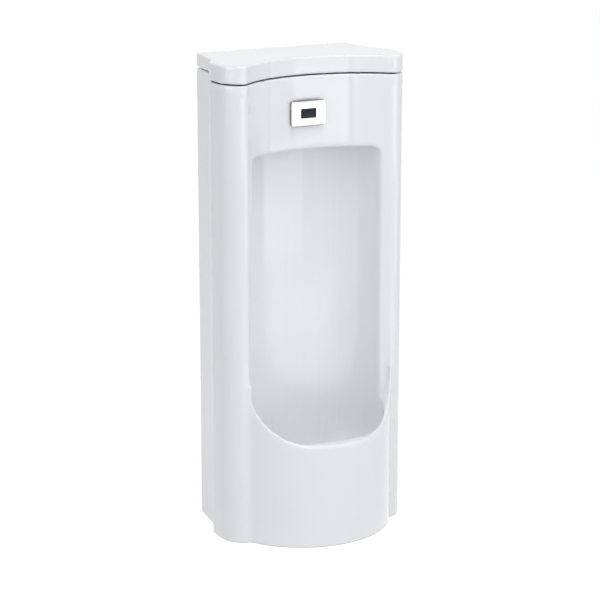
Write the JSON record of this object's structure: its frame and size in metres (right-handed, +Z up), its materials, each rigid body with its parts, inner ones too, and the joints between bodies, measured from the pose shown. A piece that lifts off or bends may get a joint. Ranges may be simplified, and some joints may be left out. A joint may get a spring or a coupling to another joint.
{
  "type": "floor-standing sensor urinal",
  "caption": "White glazed floor-standing urinal with winged sides, a deep bowl, a loose lid and a flush sensor plate in its forehead.",
  "frame": {"origin": "middle of the overall footprint, on the floor", "axes": "+Z up, the bowl's front faces -Y, the wall is at +Y, +X is to the right of someone facing the wall"},
  "size_m": [0.42, 0.325, 1],
  "materials": {
    "glazed_china": "glossy white glaze",
    "rubber": "matt black rubber",
    "bright_chrome": "polished",
    "dark_window": "polished dark infrared window",
    "dark_plastic": "fine moulded grain",
    "circuit_board": "lacquered glass-fibre board",
    "plain_steel": "stainless, brushed",
    "cable_sheath": "soft black sheath",
    "pale_plastic": "fine moulded grain",
    "cell_wrap": "shrink wrap, plain",
    "brass": "turned and cast brass",
    "coil_plastic": "potted coil",
    "trap_plastic": "moulded"
  },
  "bodies": {
    "urinal": {"ceramic_body": "glazed_china", "cover_pads": "rubber", "sensor_bezel": "bright_chrome", "sensor_window": "dark_window", "sensor_gasket": "rubber", "sensor_housing": "dark_plastic", "sensor_board": "circuit_board", "sensor_diodes": "dark_plastic", "sensor_clamp": "plain_steel", "clamp_nuts": "plain_steel", "sensor_cable": "cable_sheath", "battery_box": "pale_plastic", "door_pin": "plain_steel", "batteries": "cell_wrap", "valve_cable": "cable_sheath", "valve_body": "brass", "valve_diaphragm": "rubber", "valve_bonnet": "dark_plastic", "bonnet_screws": "plain_steel", "solenoid_coil": "coil_plastic", "core_tube": "plain_steel", "plunger_spring": "plain_steel", "inlet_pipe": "brass", "inlet_nuts": "bright_chrome", "inlet_grommet": "rubber", "valve_bracket": "plain_steel", "bracket_pads": "rubber", "flush_tube": "bright_chrome", "outlet_nuts": "bright_chrome", "spreader": "bright_chrome", "spreader_washers": "rubber", "spreader_nut": "bright_chrome", "wall_bushes": "pale_plastic", "trap_insert": "trap_plastic", "drain_body": "pale_plastic", "drain_gasket": "rubber", "drain_washer": "rubber", "drain_nut": "pale_plastic", "floor_seal": "rubber"},
    "lid": {"top_cover": "glazed_china"},
    "strainer": {"drain_strainer": "plain_steel"},
    "door": {"battery_door": "pale_plastic"},
    "stop": {"stop_spindle": "brass"},
    "plunger": {"solenoid_plunger": "plain_steel"}
  },
  "joints": [
    {"name": "lid_lift", "type": "slide", "parent": "urinal", "child": "lid", "axis": [0, 0, 1], "range_m": [0, 0.3]},
    {"name": "strainer_lift", "type": "slide", "parent": "urinal", "child": "strainer", "axis": [0, 0, 1], "range_m": [0, 0.15]},
    {"name": "battery_door_hinge", "type": "hinge", "parent": "urinal", "child": "door", "pos_m": [-0.096, 0.08765, 0.88825], "axis": [-1, 0, 0], "range_deg": [0, 90]},
    {"name": "stop_turn", "type": "hinge", "parent": "urinal", "child": "stop", "pos_m": [0.085, 0.07965, 0.878], "axis": [0, 0, 1], "range_deg": [0, 90]},
    {"name": "plunger_slide", "type": "slide", "parent": "urinal", "child": "plunger", "axis": [0, 0, 1], "range_m": [0, 0.003], "stiffness_N_per_m": 200, "springref_m": -0.002, "deforming": ["plunger_spring"]}
  ]
}
